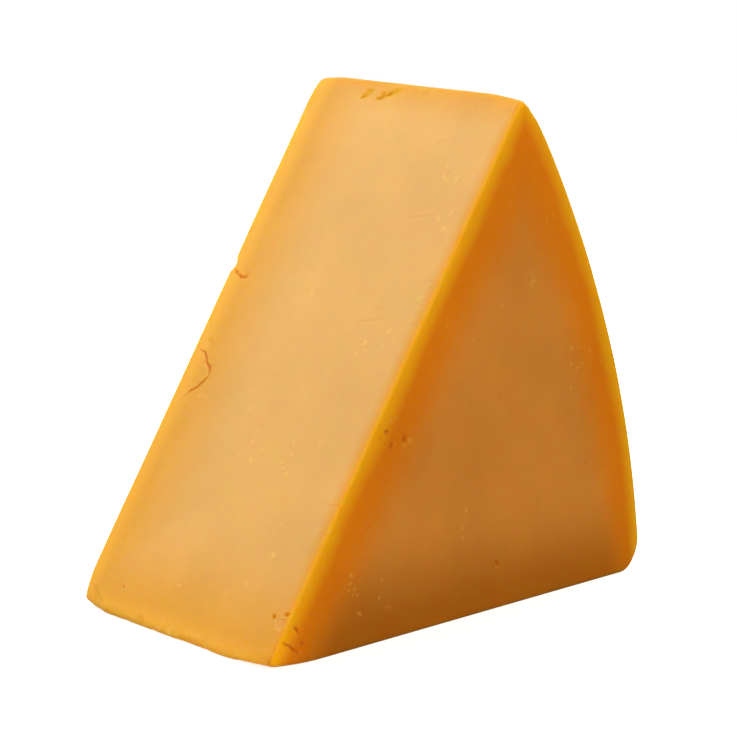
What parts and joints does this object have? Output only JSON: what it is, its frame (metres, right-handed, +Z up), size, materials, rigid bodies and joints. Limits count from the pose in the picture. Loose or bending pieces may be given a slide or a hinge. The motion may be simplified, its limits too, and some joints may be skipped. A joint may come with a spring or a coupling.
{
  "type": "cheese wedge",
  "caption": "Wedge of semi-soft cheese cut from a low round wheel, lying on a flat cut face, with a bowed rim and crisp edges and worn corners.",
  "frame": {"origin": "middle of the wedge's bounding box, on the resting cut face", "axes": "+X along the resting cut face from the apex to the rim, +Y across the wheel's thickness from the front flat face to the back one, +Z up"},
  "size_m": [0.1216, 0.0562, 0.098],
  "materials": {
    "cheese": "waxy semi-gloss cut cheese, slightly translucent, deeper orange towards the edges"
  },
  "bodies": {
    "root": {"cheese_wedge": "cheese"}
  },
  "joints": []
}
